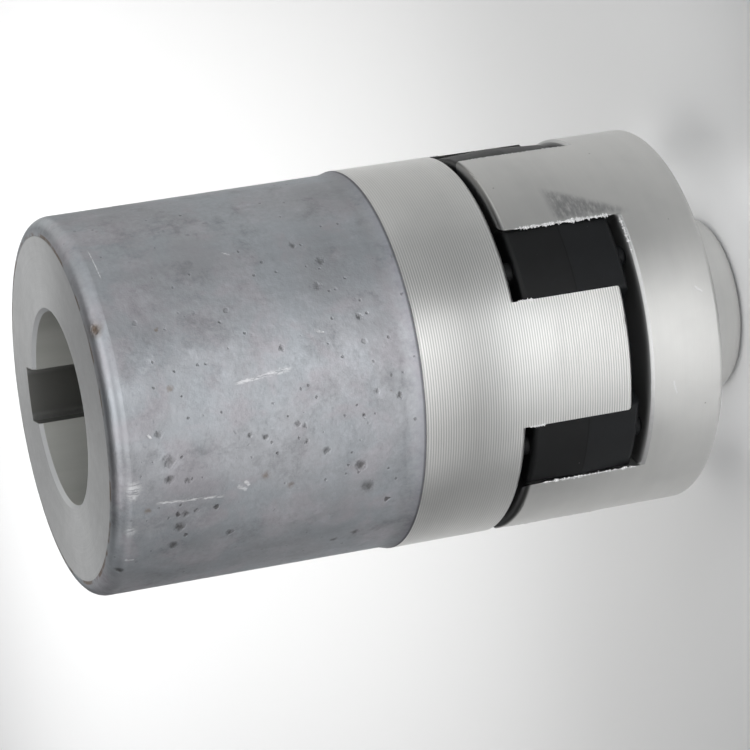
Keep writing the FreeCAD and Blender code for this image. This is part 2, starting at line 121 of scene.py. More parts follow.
# Name, place, width and height, brightness, what it faces, spread in degrees and tint
SOFTBOXES = (
    ("rim_softbox_1", (-46, -100, 210), 110, 100, 0.31, (-8, -18, 98), 60, WHITE),
    ("rim_softbox_2", (19, -108, 210), 110, 100, 0.20, (0, -20, 98), 60, WHITE),
    ("rim_softbox_3", (78, -78, 210), 110, 100, 0.25, (10, -15, 98), 60, WHITE),
    ("base_light", (0, 0, 8), 44, 44, 0.42, (0, 0, 0), 140, WHITE),
    ("cool_softbox", (369, -258, 260), 300, 360, 0.95, (0, 0, 260), 180, COOL),
    ("side_softbox", (209, 84, 138), 106, 265, 0.74, (0, 0, 138), 180, WARM),
    ("far_side_softbox", (258, 369, 260), 300, 360, 1.0, (0, 0, 260), 180, WARM),
    ("low_softbox_left", (-26, -70, 60), 40, 50, 1.35, (-26, -70, 0), 90, WHITE),
    ("low_softbox_middle", (13, -73, 50), 50, 40, 0.82, (13, -73, 0), 60, WHITE),
    ("floor_light_near", (-20, 150, 170), 130, 240, 0.3, (-20, 150, 0), 110, WARM),
    ("floor_light_middle", (-45, 300, 220), 200, 420, 1.0, (-45, 300, 0), 110, WHITE),
    ("floor_light_far", (-100, 520, 300), 400, 300, 1.9, (-100, 520, 0), 150, WHITE))


# Settings


def length_setting(name, description, default):
    """A length in the scene's unit, with its default in millimetres."""
    return bpy.props.FloatProperty(
        name=name, description=description, default=default * MM, unit="LENGTH", precision=5)


def colour_setting(name, description, default):
    return bpy.props.FloatVectorProperty(
        name=name, description=description, default=default, subtype="COLOR", size=3, min=0, max=1)


def share_setting(name, description, default):
    return bpy.props.FloatProperty(
        name=name, description=description, default=default, subtype="FACTOR", min=0, max=1)


class CastingSettings(bpy.types.PropertyGroup):
    tone: colour_setting("Casting", "Grey of the cast skin", (0.405, 0.412, 0.433))
    warm_tone: colour_setting("Casting, warm", "Purplish clouds in the cast skin", (0.43, 0.422, 0.447))
    cool_tone: colour_setting("Casting, cool", "Bluish clouds in the cast skin", (0.395, 0.415, 0.44))
    pit_tone: colour_setting("Pits", "Dirt in the skin's pits", (0.07, 0.066, 0.062))
    rust_tone: colour_setting("Rust", "Brown specks", (0.16, 0.10, 0.055))
    nick_tone: colour_setting("Nicks", "Bare metal in nicks and scratches", (0.86, 0.86, 0.87))
    # Bright skin: partly rubbed by handling, partly painted highlight.
    rubbed_and_highlight_tone: colour_setting("Rubbed skin", "Skin that handling has rubbed bright", (0.60, 0.61, 0.65))
    ramp_tone: colour_setting("Ramp", "Shade at the foot of the ramp", (0.27, 0.26, 0.30))
    line_tone: colour_setting("Line", "Dark line where the turned band ends", (0.10, 0.10, 0.11))
    pit_depth: length_setting("Pit depth", "Depth of the skin's pits", 0.12)
    roughness: share_setting("Roughness", "Roughness of the cast skin", 0.5)


class TurningSettings(bpy.types.PropertyGroup):
    tone: colour_setting("Turned metal", "Turned light alloy", (0.80, 0.797, 0.78))
    dull_tone: colour_setting("Turned metal, dull", "Duller rings in the turned metal", (0.68, 0.68, 0.67))
    face_tone: colour_setting("Faced metal", "Faced end and jaw flanks", (0.50, 0.507, 0.515))
    keyway_tone: colour_setting("Keyway", "Oily broached keyway", (0.23, 0.23, 0.22))
    bore_tone: colour_setting("Bore", "Bored wall with an oil film", (0.36, 0.365, 0.34))
    dry_bore_tone: colour_setting("Bore, dry", "Where the oil film is thin", (0.50, 0.50, 0.48))
    # Painted shade deep between the jaws, lightening to a painted light at the roots' rim.
    root_shade_tone: colour_setting("Jaw roots", "Dirt deep between the jaws", (0.10, 0.10, 0.10))
    root_rim_light_tone: colour_setting("Jaw roots' rim", "Clean metal at the roots' rim", (0.75, 0.75, 0.75))
    smudge_tone: colour_setting("Smudge", "Dark finger mark", (0.30, 0.30, 0.31))
    groove_pitch: length_setting("Groove pitch", "Feed of the turning tool", 0.38)
    groove_depth: length_setting("Groove depth", "Depth of the tool marks", 0.016)
    roughness: share_setting("Roughness", "Roughness of the turned metal", 0.30)


class SpiderSettings(bpy.types.PropertyGroup):
    tone: colour_setting("Elastomer", "Black elastomer", (0.0055, 0.0058, 0.0062))
    dusty_tone: colour_setting("Dust", "Rubbed and dusty elastomer", (0.0085, 0.0097, 0.0115))
    dot_tone: colour_setting("Dots", "Pale specks of dust", (0.20, 0.20, 0.20))
    roughness: share_setting("Roughness", "Roughness of the elastomer", 0.42)
    flash_height: length_setting("Flash height", "How far the mould flash stands out", 0.07)
    flash_width: length_setting("Flash width", "Width of the mould flash", 0.22)


class BurrSettings(bpy.types.PropertyGroup):
    size: length_setting("Burr size", "Half the width of the largest burrs", 0.30)
    tone: colour_setting("Burr", "Bright torn metal", (0.95, 0.95, 0.95))
    dull_tone: colour_setting("Burr, dull", "Duller torn metal", (0.62, 0.62, 0.62))


class ThreadSettings(bpy.types.PropertyGroup):
    long_pitch: length_setting("Long hub's pitch", "Thread pitch of the long hub's screw hole", 1.25)
    short_pitch: length_setting("Short hub's pitch", "Thread pitch of the short hub's screw hole", 1.0)
    tone: colour_setting("Black oxide", "Screws", (0.022, 0.022, 0.024))
    worn_tone: colour_setting("Worn steel", "Rubbed edges of the screws", (0.22, 0.21, 0.20))


class StageSettings(bpy.types.PropertyGroup):
    floor_tone: colour_setting("Floor", "Plain pale floor", (0.88, 0.88, 0.88))
    mottled_tone: colour_setting("Floor, mottled", "Faint mottling of the floor", (0.8, 0.8, 0.8))
    world_glow: bpy.props.FloatProperty(
        name="Surroundings", description="Brightness of the studio", default=0.09)
    lens: bpy.props.FloatProperty(
        name="Lens", description="Focal length in millimetres", default=155.9)


# Materials


class Finish:
    """A node material put together step by step. Its patterns are in millimetres of the part."""

    def __init__(self, name):
        self.material = bpy.data.materials.new(name)
        self.material.use_nodes = True
        self.tree = self.material.node_tree
        self.tree.nodes.clear()
        output = self.tree.nodes.new("ShaderNodeOutputMaterial")
        self.shader = self.tree.nodes.new("ShaderNodeBsdfPrincipled")
        self.tree.links.new(self.shader.outputs["BSDF"], output.inputs["Surface"])
        self.place = self.node("ShaderNodeMapping", {
            "Vector": self.node("ShaderNodeTexCoord").outputs["Object"],
            "Scale": (1 / MM, 1 / MM, 1 / MM),
        }).outputs["Vector"]
        parts = self.node("ShaderNodeSeparateXYZ", {"Vector": self.place}).outputs
        self.x, self.y, self.z = parts["X"], parts["Y"], parts["Z"]
        squares = [self.math("MULTIPLY", side, side) for side in (self.x, self.y)]
        self.reach = self.math("SQRT", self.math("ADD", *squares))
        self.angle = self.math("MULTIPLY", self.math("ARCTAN2", self.y, self.x), math.degrees(1))
        normal = self.node("ShaderNodeNewGeometry").outputs["True Normal"]
        lean = self.node("ShaderNodeSeparateXYZ", {"Vector": normal}).outputs["Z"]
        lean = self.math("ABSOLUTE", lean)
        self.flat = self.step(lean, 0.6, 0.8)
        self.tilted = self.step(lean, 0.1, 0.35)
        self.relief = None
        self.wobble = self.scaled(self.math("SUBTRACT", self.noise(self.place, 2.0, 3.0), 0.5), 0.9)
        self.raggedness = self.math("SUBTRACT", self.noise(self.place, 1.6, 3.0), 0.5)

    def node(self, kind, inputs=(), **settings):
        made = self.tree.nodes.new(kind)
        for name, value in settings.items():
            setattr(made, name, value)
        for name, value in dict(inputs).items():
            if isinstance(value, bpy.types.NodeSocket):
                self.tree.links.new(value, made.inputs[name])
            else:
                made.inputs[name].default_value = value
        return made

    def math(self, operation, *values):
        made = self.node("ShaderNodeMath", dict(enumerate(values)), operation=operation)
        return made.outputs[0]

    def step(self, value, low, high):
        """From 0 at low to 1 at high, smoothly."""
        falls = low > high
        made = self.node("ShaderNodeMapRange", {
            "Value": value, "From Min": min(low, high), "From Max": max(low, high),
            "To Min": float(falls), "To Max": float(not falls),
        }, interpolation_type="SMOOTHSTEP")
        return made.outputs["Result"]

    def band(self, value, low, high, soft):
        """1 between low and high, with soft shoulders outside."""
        rise = self.step(value, low - soft, low)
        return self.math("MULTIPLY", rise, self.step(value, high + soft, high))

    def all_of(self, *masks):
        result = masks[0]
        for mask in masks[1:]:
            result = self.math("MULTIPLY", result, mask)
        return result

    def any_of(self, *masks):
        result = masks[0]
        for mask in masks[1:]:
            result = self.math("MAXIMUM", result, mask)
        return result

    def none_of(self, mask):
        return self.math("SUBTRACT", 1.0, mask)

    def scaled(self, mask, amount):
        return self.math("MULTIPLY", mask, amount)

    def stretch(self, x, y, z, shift=(0, 0, 0)):
        """The place, with each direction scaled by itself."""
        return self.node("ShaderNodeMapping", {
            "Vector": self.place, "Scale": (x, y, z), "Location": shift,
        }).outputs["Vector"]

    def joined(self, x, y, z):
        return self.node("ShaderNodeCombineXYZ", {"X": x, "Y": y, "Z": z}).outputs["Vector"]

    def noise(self, vector, scale, detail=2.0, roughness=0.5, distortion=0.0):
        made = self.node("ShaderNodeTexNoise", {
            "Vector": vector, "Scale": scale, "Detail": detail, "Roughness": roughness,
            "Distortion": distortion,
        })
        return made.outputs["Fac"]

    def cells(self, vector, scale, randomness=1.0):
        """Distance to the nearest of scattered points, and a random number for each."""
        made = self.node("ShaderNodeTexVoronoi", {
            "Vector": vector, "Scale": scale, "Randomness": randomness,
        })
        chance = self.node("ShaderNodeSeparateColor", {"Color": made.outputs["Color"]}).outputs["Red"]
        return made.outputs["Distance"], chance

    def specks(self, spacing, size, share, shift=(0, 0, 0), uneven=0.5):
        """Scattered dots: how far apart, how wide, and what share of the places has one."""
        wobble = self.noise(self.place, 2.2 / size, 1.0)
        distance, chance = self.cells(self.stretch(1, 1, 1, shift), 1 / spacing)
        distance = self.math("ADD", self.math("MULTIPLY", distance, spacing), self.math(
            "MULTIPLY", self.math("SUBTRACT", wobble, 0.5), size * uneven))
        present = self.step(chance, share, share * 0.6)
        return self.all_of(self.step(distance, size * 0.5, size * 0.18), present)

    def mix(self, factor, first, second):
        made = self.node("ShaderNodeMix", {0: factor}, data_type="RGBA")
        for socket, value in ((made.inputs[6], first), (made.inputs[7], second)):
            if isinstance(value, bpy.types.NodeSocket):
                self.tree.links.new(value, socket)
            else:
                socket.default_value = (*value, 1)
        return made.outputs[2]

    def blend(self, factor, first, second):
        """From one number to another."""
        made = self.node("ShaderNodeMix", {0: factor, 2: first, 3: second}, data_type="FLOAT")
        return made.outputs[0]

    def shade(self, colour, amount):
        """A colour times a number."""
        made = self.node("ShaderNodeVectorMath", {0: colour, "Scale": amount}, operation="SCALE")
        return made.outputs["Vector"]

    def raise_by(self, height):
        """Add a height in millimetres to the relief."""
        self.relief = height if self.relief is None else self.math("ADD", self.relief, height)

    def brush(self, amount):
        """Stretch the highlights across the tool's path, which runs round the Z axis."""
        tangent = self.node("ShaderNodeTangent", direction_type="RADIAL", axis="Z").outputs["Tangent"]
        self.tree.links.new(tangent, self.shader.inputs["Tangent"])
        self.shader.inputs["Anisotropic"].default_value = amount

    def finish(self, colour, roughness, metallic, **constants):
        bump = self.node("ShaderNodeBump", {"Height": self.relief, "Strength": 1.0, "Distance": MM})
        for name, value in (
                ("Base Color", colour), ("Roughness", roughness), ("Metallic", metallic),
                ("Normal", bump.outputs[0])):
            if isinstance(value, bpy.types.NodeSocket):
                self.tree.links.new(value, self.shader.inputs[name])
            else:
                self.shader.inputs[name].default_value = value
        for name, value in constants.items():
            self.shader.inputs[name.replace("_", " ")].default_value = value
        return self.material

    def spot(self, angle, height, width):
        """A soft round mark on the barrel, by its angle and height."""
        turn = math.radians(angle)
        rounded = max(0.0, height - (TOP - ROUNDING))
        reach = OUTER - DRAFT - ROUNDING + math.sqrt(ROUNDING ** 2 - rounded ** 2)
        middle = (reach * math.cos(turn), reach * math.sin(turn), height)
        gap = self.node("ShaderNodeVectorMath", {0: self.place, 1: middle}, operation="DISTANCE")
        return self.step(self.math("ADD", gap.outputs["Value"], self.wobble), width * 0.62, 0.0)

    def mark(self, angle, height, length, width, turn, ragged):
        """A short straight mark on the outside, by its middle; turn tips it off the axis."""
        across = self.scaled(self.math("SUBTRACT", self.angle, angle), math.radians(1) * OUTER)
        along = self.math("SUBTRACT", self.z, height)
        turn = math.radians(turn)
        ahead, aside = math.cos(turn), math.sin(turn)
        run = self.math("ADD", self.scaled(along, ahead), self.scaled(across, aside))
        side = self.math("SUBTRACT", self.scaled(across, ahead), self.scaled(along, aside))
        side = self.math("ABSOLUTE", self.math("ADD", side, self.scaled(self.raggedness, ragged)))
        return self.all_of(
            self.step(side, width, width * 0.25),
            self.step(self.math("ABSOLUTE", run), length / 2, length * 0.36),
            self.step(self.reach, 24.0, 26.0))


def add_tool_marks(finish, settings, where):
    """Grooves of a turning tool, round the axis on the outside and in rings on flat faces."""
    pitch = settings.groove_pitch / MM
    depth = settings.groove_depth / MM
    travel = finish.blend(finish.flat, finish.z, finish.reach)
    ring = finish.joined(
        finish.scaled(finish.x, 0.03), finish.scaled(finish.y, 0.03),
        finish.scaled(travel, 1 / pitch))
    coarse = finish.noise(ring, 0.11, 2.0, 0.6)
    fine = finish.noise(ring, 1.9, 2.0, 0.6)
    wander = finish.scaled(finish.noise(finish.stretch(0.03, 0.03, 0.12), 1.0, 1.0), 0.8)
    turns = finish.math("ADD", finish.scaled(travel, 2 * math.pi / pitch), wander)
    wave = finish.all_of(finish.math("SINE", turns), finish.step(coarse, -0.2, 0.55))
    height = finish.math("ADD", finish.scaled(wave, depth / 2), finish.scaled(fine, depth * 0.15))
    finish.raise_by(finish.all_of(height, where))
    return coarse, fine, wave


def turned_colour(finish, settings, coarse, fine):
    """Bright turned metal with duller rings and faint clouds."""
    clouds = finish.noise(finish.stretch(1, 1, 1), 0.10, 3.0, 0.55)
    dull = finish.math("ADD", finish.scaled(finish.step(coarse, 0.4, 0.7), 0.16), finish.scaled(fine, 0.22))
    dull = finish.math("ADD", dull, finish.scaled(finish.step(clouds, 0.4, 0.7), 0.35))
    return finish.mix(dull, tuple(settings.tone), tuple(settings.dull_tone))


def make_cast_hub_finish(casting, turning):
    """Cast barrel, turned band and jaws, faced end, bored and broached inside."""
    finish = Finish("cast_and_turned_alloy")
    place = finish.place

    skin = finish.all_of(
        finish.step(finish.z, SKIN_START - 0.1, SKIN_START + 0.1),
        finish.step(finish.reach, 24.8, 24.95))
    inside = finish.step(finish.reach, LONG_CHAMFER + 0.15, LONG_CHAMFER + 0.05)
    keyed = finish.all_of(
        finish.step(finish.reach, 17.7, 17.5), finish.step(finish.y, 13.0, 13.3),
        finish.step(finish.math("ABSOLUTE", finish.x), 4.1, 4.0),
        finish.step(finish.reach, LONG_BORE + 0.05, LONG_BORE + 0.12))
    cut = finish.none_of(skin)

    scored = finish.all_of(
        cut, finish.none_of(keyed), finish.none_of(finish.scaled(inside, 0.75)))
    shallow = finish.all_of(
        scored, finish.blend(finish.step(finish.z, 40.0, 50.0), 1.0, 0.2))
    coarse, fine, wave = add_tool_marks(finish, turning, shallow)
    metal = turned_colour(finish, turning, coarse, fine)
    # Grooves in the colour, crests lighter: faint all round, and stronger from -104 to -64 degrees as a
    # painted highlight of the grooves.
    glint_band = finish.scaled(finish.band(finish.angle, -104.0, -64.0, 24.0), 0.65)
    grooves_and_glint = finish.all_of(
        wave, scored, finish.none_of(finish.flat), finish.step(finish.reach, 26.5, 27.0),
        finish.math("ADD", 0.35, glint_band))
    metal = finish.shade(metal, finish.math("ADD", 1.0, finish.scaled(grooves_and_glint, 0.22)))
    faced = finish.mix(finish.scaled(fine, 0.6), tuple(turning.face_tone), tuple(turning.dull_tone))
    scuffs = finish.noise(finish.stretch(1, 1, 1, (6, 2, 8)), 0.45, 6.0, 0.75)
    faced = finish.shade(faced, finish.math("ADD", 0.82, finish.scaled(scuffs, 0.36)))
    metal = finish.mix(
        finish.any_of(finish.flat, finish.step(finish.reach, 27.3, 27.0)), metal, faced)
    chamfer = finish.all_of(
        finish.step(finish.z, TOP - 0.6, TOP - 0.45),
        finish.step(finish.reach, LONG_CHAMFER + 0.15, LONG_CHAMFER))
    film = finish.noise(finish.stretch(0.3, 0.3, 0.05), 1.0, 3.0)
    bored = finish.mix(film, tuple(turning.bore_tone), tuple(turning.dry_bore_tone))
    metal = finish.mix(finish.all_of(inside, finish.none_of(chamfer)), metal, bored)
    metal = finish.mix(chamfer, metal, tuple(turning.face_tone))
    metal = finish.mix(keyed, metal, tuple(turning.keyway_tone))

    clouds = finish.noise(place, 0.085, 4.0, 0.55, 0.4)
    patches = finish.noise(finish.stretch(1, 1, 1, (31, 7, 12)), 0.16, 4.0, 0.6, 0.6)
    skin_colour = finish.mix(finish.step(clouds, 0.38, 0.62), tuple(casting.tone), tuple(casting.cool_tone))
    skin_colour = finish.mix(finish.step(patches, 0.46, 0.66), skin_colour, tuple(casting.warm_tone))
    grain = finish.noise(place, 1.5, 4.0, 0.65)
    skin_colour = finish.shade(skin_colour, finish.math("ADD", 0.84, finish.scaled(grain, 0.32)))
    streaks = finish.noise(finish.stretch(0.5, 0.5, 0.05), 1.0, 3.0, 0.6)
    skin_colour = finish.shade(skin_colour, finish.math("ADD", 0.90, finish.scaled(streaks, 0.2)))
    stains = finish.noise(finish.stretch(1, 1, 1, (9, 21, 4)), 0.15, 6.0, 0.74)
    stains = finish.any_of(
        finish.step(stains, 0.46, 0.80), *[
            finish.scaled(finish.all_of(
                finish.spot(angle, height, width), finish.step(grain, 0.2, 0.75)), share)
            for angle, height, width, share in STAINS])
    skin_colour = finish.shade(skin_colour, finish.math("SUBTRACT", 1.08, finish.scaled(stains, 0.42)))
    # Bright skin: rubbed streaks from noise, and spots that are partly painted highlights.
    rubbed = finish.noise(finish.stretch(1, 1, 1, (17, 3, 44)), 0.3, 6.0, 0.74)
    rubbed = finish.any_of(finish.step(rubbed, 0.50, 0.80), *[
        finish.scaled(finish.all_of(
            finish.spot(angle, height, width), finish.step(grain, 0.25, 0.7)), 0.6)
        for angle, height, width in RUBBED_AND_HIGHLIGHT_SPOTS])
    skin_colour = finish.mix(finish.scaled(rubbed, 0.52), skin_colour, tuple(casting.rubbed_and_highlight_tone))

    # Painted shade: the skin darkens by up to 12% towards the barrel's end.
    skin_colour = finish.shade(skin_colour, finish.math("SUBTRACT", 1.0, finish.scaled(
        finish.step(finish.z, 72.0, 94.0), 0.12)))

    low_side = finish.step(finish.x, 6.0, -16.0)
    big_pits = finish.specks(3.4, 1.05, 0.40)
    small_pits = finish.specks(1.7, 0.55, 0.45, (5, 3, 9))
    dense = finish.math("ADD", 0.25, finish.scaled(low_side, 0.6))
    pits = finish.any_of(finish.all_of(big_pits, dense), finish.scaled(small_pits, 0.45), *[
        finish.scaled(finish.spot(angle, height, width), share)
        for angle, height, width, share in SKIN_PITS])
    skin_colour = finish.mix(finish.scaled(pits, 0.82), skin_colour, tuple(casting.pit_tone))
    rust = finish.specks(6.5, 0.7, 0.35, (2, 8, 1))
    rust = finish.any_of(finish.scaled(rust, 0.6), *[
        finish.scaled(finish.spot(angle, height, width), 0.7) for angle, height, width in RUST_SPOTS])
    skin_colour = finish.mix(finish.scaled(rust, 0.75), skin_colour, tuple(casting.rust_tone))

    seam = finish.band(finish.reach, 24.92, 25.3, 0.15)
    seam = finish.all_of(seam, finish.step(finish.z, TOP - 0.8, TOP - 0.3))
    seam = finish.all_of(seam, finish.step(finish.noise(place, 0.35, 3.0), 0.42, 0.6))
    skin_colour = finish.mix(finish.scaled(seam, 0.7), skin_colour, tuple(casting.rust_tone))
    # Painted shade: the skin darkens towards the ramp's crease, and more at the ramp's foot.
    skin_colour = finish.shade(skin_colour, finish.math("SUBTRACT", 1.0, finish.scaled(
        finish.step(finish.z, 61.0, 58.2), 0.14)))
    ramp_foot = finish.all_of(skin, finish.step(finish.z, RAMP_START + 0.3, SKIN_START + 0.1))
    skin_colour = finish.mix(finish.scaled(ramp_foot, 0.35), skin_colour, tuple(casting.ramp_tone))
    line = finish.all_of(skin, finish.step(finish.z, SKIN_START + 0.45, SKIN_START + 0.15))
    skin_colour = finish.mix(finish.scaled(line, 0.75), skin_colour, tuple(casting.line_tone))

    nicks = finish.any_of(
        *[finish.mark(*nick) for nick in NICKS], *[finish.spot(*bruise) for bruise in BRUISES])
    strokes = finish.noise(finish.stretch(3.5, 3.5, 0.7), 1.0, 3.0, 0.65)
    nicks = finish.all_of(nicks, skin, finish.step(strokes, 0.36, 0.56))
    skin_colour = finish.mix(finish.scaled(nicks, 0.58), skin_colour, tuple(casting.nick_tone))

    colour = finish.mix(skin, metal, skin_colour)
    swell = finish.scaled(finish.noise(place, 0.16, 2.0), 0.14)
    peel = finish.scaled(finish.noise(place, 0.9, 3.0, 0.6), 0.035)
    sand = finish.scaled(grain, 0.02)
    sunk = finish.scaled(pits, -casting.pit_depth / MM)
    ragged = finish.scaled(nicks, -0.02)
    cast_relief = finish.math("ADD", finish.math("ADD", swell, peel), finish.math("ADD", sand, sunk))
    finish.raise_by(finish.all_of(finish.math("ADD", cast_relief, ragged), skin))
    crease = finish.math("ABSOLUTE", finish.math("SUBTRACT", finish.z, RAMP_START))
    blend = finish.math("MAXIMUM", 0.0, finish.math("SUBTRACT", RAMP_BLEND, crease))
    blend = finish.scaled(finish.math("MULTIPLY", blend, blend), RAMP_SLOPE / (4 * RAMP_BLEND))
    finish.raise_by(finish.all_of(
        blend, finish.step(finish.reach, 26.0, 26.5),
        finish.step(finish.z, SKIN_START, SKIN_START + 0.05)))
    broached = finish.scaled(finish.noise(finish.stretch(4, 4, 0.02), 1.0, 2.0), 0.02)
    finish.raise_by(finish.all_of(broached, keyed))

    skin_rough = finish.math("ADD", casting.roughness - 0.10, finish.scaled(patches, 0.24))
    cut_rough = finish.math("ADD", turning.roughness - 0.04, finish.scaled(coarse, 0.08))
    cut_rough = finish.blend(finish.any_of(finish.flat, keyed), cut_rough, 0.5)
    cut_rough = finish.blend(inside, cut_rough, 0.42)
    finish.brush(0.6)
    oiled = finish.all_of(inside, finish.none_of(keyed))
    metallic = finish.math("SUBTRACT", 1.0, finish.scaled(oiled, 0.65))
    return finish.finish(colour, finish.blend(skin, cut_rough, skin_rough), metallic)


def make_turned_hub_finish(turning, casting):
    """Short hub: turned all over, with milled jaw flanks and a finger mark."""
    finish = Finish("turned_alloy")
    above_root = finish.step(finish.z, GAP_LOW - 1.2, GAP_LOW - 0.8)
    milled = finish.all_of(
        finish.step(finish.reach, 27.6, 27.2), finish.none_of(finish.flat), above_root)
    coarse, fine, _ = add_tool_marks(
        finish, turning, finish.scaled(finish.none_of(milled), 0.15))
    metal = turned_colour(finish, turning, coarse, fine)
    faced = finish.mix(finish.scaled(fine, 0.6), tuple(turning.face_tone), tuple(turning.dull_tone))
    metal = finish.mix(finish.any_of(finish.flat, milled), finish.shade(metal, 0.93), faced)
    chatter = finish.noise(finish.stretch(0.25, 0.25, 2.4), 1.0, 2.0, 0.6)
    finish.raise_by(finish.all_of(finish.scaled(chatter, 0.02), milled))
    inside = finish.step(finish.reach, SHORT_BORE + 0.6, SHORT_BORE + 0.4)
    metal = finish.mix(inside, metal, tuple(turning.bore_tone))
    keyed = finish.all_of(
        finish.step(finish.reach, 9.8, 9.6), finish.step(finish.math("ABSOLUTE", finish.x), 2.6, 2.5),
        finish.step(finish.y, 6.3, 6.5),
        finish.step(finish.reach, SHORT_BORE + 0.05, SHORT_BORE + 0.12))
    metal = finish.mix(keyed, metal, tuple(turning.keyway_tone))

    upper_edge = finish.scaled(finish.math("SUBTRACT", finish.z, 21.0), 1.15)
    upper_edge = finish.math("SUBTRACT", upper_edge, 46.8)
    strokes = finish.noise(finish.stretch(0.7, 0.7, 1.9, (4, 4, 4)), 1.0, 5.0, 0.65)
    smudge = finish.all_of(
        finish.step(finish.math("SUBTRACT", upper_edge, finish.angle), -1.0, 2.5),
        finish.step(finish.angle, -49.5, -46.5), finish.band(finish.z, 21.5, 30.5, 2.0),
        finish.step(strokes, 0.22, 0.66))
    metal = finish.mix(finish.scaled(smudge, 0.8), metal, tuple(turning.smudge_tone))
    specks = finish.specks(2.4, 0.32, 0.3, (3, 1, 4))
    metal = finish.mix(finish.scaled(specks, 0.55), metal, tuple(casting.pit_tone))
    finish.raise_by(finish.scaled(specks, -0.03))
    # Painted shade: the jaws' rounded tips darkened.
    tip = finish.step(finish.z, SHORT_TIP - 1.2, SHORT_TIP - 0.2)
    metal = finish.shade(metal, finish.math("SUBTRACT", 1.0, finish.scaled(tip, 0.7)))
    root = finish.all_of(finish.flat, above_root, finish.none_of(tip))
    # Painted shade: rounded edges above the roots darkened to tone down their highlight.
    edge = finish.all_of(finish.tilted, finish.none_of(finish.flat), above_root)
    metal = finish.shade(metal, finish.math("SUBTRACT", 1.0, finish.scaled(edge, 0.45)))
    # Painted shade on the root faces: dark deep between the jaws, painted light towards the rim.
    mouth = finish.step(finish.reach, 25.8, 28.3)
    root_shade_tone = finish.mix(
        finish.all_of(mouth, mouth), tuple(turning.root_shade_tone), tuple(turning.root_rim_light_tone))
    metal = finish.mix(root, metal, root_shade_tone)
    nicks = finish.any_of(*[finish.mark(*nick) for nick in FLANGE_NICKS])
    metal = finish.mix(finish.scaled(nicks, 0.7), metal, tuple(casting.nick_tone))
    finish.raise_by(finish.scaled(nicks, -0.02))
    rough = finish.math("ADD", turning.roughness - 0.04, finish.scaled(coarse, 0.08))
    rough = finish.blend(finish.any_of(finish.flat, milled, inside), rough, 0.46)
    finish.brush(0.55)
    return finish.finish(metal, rough, finish.math("SUBTRACT", 1.0, finish.scaled(root, 0.85)))


def make_elastomer_finish(spider):
    """Black moulded elastomer, rubbed on the half that faces the short hub."""
    finish = Finish("black_elastomer")
    dust = finish.noise(finish.place, 0.5, 5.0, 0.65)
    grain = finish.noise(finish.place, 6.0, 3.0, 0.6)
    half = finish.step(finish.z, PARTING + 0.1, PARTING - 0.1)
    rubbed = finish.math(
        "ADD", finish.scaled(finish.step(dust, 0.45, 0.75), 0.35), finish.scaled(half, 0.45))
    colour = finish.mix(rubbed, tuple(spider.tone), tuple(spider.dusty_tone))
    dots = finish.specks(2.2, 0.2, 0.4, (1, 2, 3))
    colour = finish.mix(finish.scaled(dots, 0.6), colour, tuple(spider.dot_tone))
    # Painted shade: a dark line along the parting, for the shadow of the mould's seam.
    line = finish.band(finish.z, PARTING - 0.06, PARTING + 0.06, 0.06)
    colour = finish.shade(colour, finish.math("SUBTRACT", 1.0, finish.scaled(line, 0.75)))
    finish.raise_by(finish.scaled(grain, 0.008))
    finish.raise_by(finish.scaled(dust, 0.02))
    rough = finish.math("ADD", spider.roughness - 0.05, finish.scaled(dust, 0.16))
    return finish.finish(colour, rough, 0.0, Specular_IOR_Level=0.26)


def make_screw_finish(threads):
    """Black-oxide steel with rubbed edges."""
    finish = Finish("black_oxide_steel")
    wear = finish.noise(finish.place, 1.4, 4.0, 0.65)
    grain = finish.noise(finish.place, 7.0, 2.0)
    colour = finish.mix(finish.step(wear, 0.56, 0.72), tuple(threads.tone), tuple(threads.worn_tone))
    finish.raise_by(finish.scaled(grain, 0.01))
    return finish.finish(colour, finish.math("ADD", 0.34, finish.scaled(wear, 0.2)), 1.0)


def make_burr_finish(burrs):
    """Torn bright metal."""
    finish = Finish("torn_bright_alloy")
    torn = finish.noise(finish.place, 3.0, 3.0)
    colour = finish.mix(torn, tuple(burrs.tone), tuple(burrs.dull_tone))
    finish.raise_by(finish.scaled(torn, 0.05))
    return finish.finish(colour, finish.math("ADD", 0.3, finish.scaled(torn, 0.3)), 0.25)


def make_thread_finish(turning):
    """Tapped thread with a trace of oil."""
    finish = Finish("tapped_alloy")
    oil = finish.noise(finish.place, 0.8, 3.0)
    colour = finish.mix(oil, tuple(turning.face_tone), tuple(turning.bore_tone))
    finish.raise_by(finish.scaled(finish.noise(finish.place, 4.0, 2.0), 0.01))
    return finish.finish(colour, finish.math("ADD", 0.3, finish.scaled(oil, 0.2)), 1.0)


def make_floor_finish(stage):
    """Plain pale board with a trace of mottling."""
    finish = Finish("pale_floor")
    faint = finish.noise(finish.place, 0.02, 2.0)
    colour = finish.mix(finish.scaled(faint, 0.02), tuple(stage.floor_tone), tuple(stage.mottled_tone))
    finish.raise_by(finish.scaled(faint, 0.01))
    return finish.finish(colour, 0.8, 0.0, Specular_IOR_Level=0.2)


# Modelling


def start_clean():
    """Leave edit mode and deselect everything."""
    if bpy.context.object and bpy.context.object.mode != "OBJECT":
        bpy.ops.object.mode_set(mode="OBJECT")
    bpy.ops.object.select_all(action="DESELECT")


def name_piece(name):
    piece = bpy.context.active_object
    piece.name = name
    piece.data.name = name
    return piece


def settle(piece):
    """Put a piece's place into its mesh."""
    start_clean()
    piece.select_set(True)
    bpy.context.view_layer.objects.active = piece
    bpy.ops.object.transform_apply(location=True, rotation=True, scale=True)


def join_pieces(pieces, name):
    start_clean()
    for piece in pieces:
        piece.select_set(True)
    bpy.context.view_layer.objects.active = pieces[0]
    if len(pieces) > 1:
        bpy.ops.object.join()
    return name_piece(name)


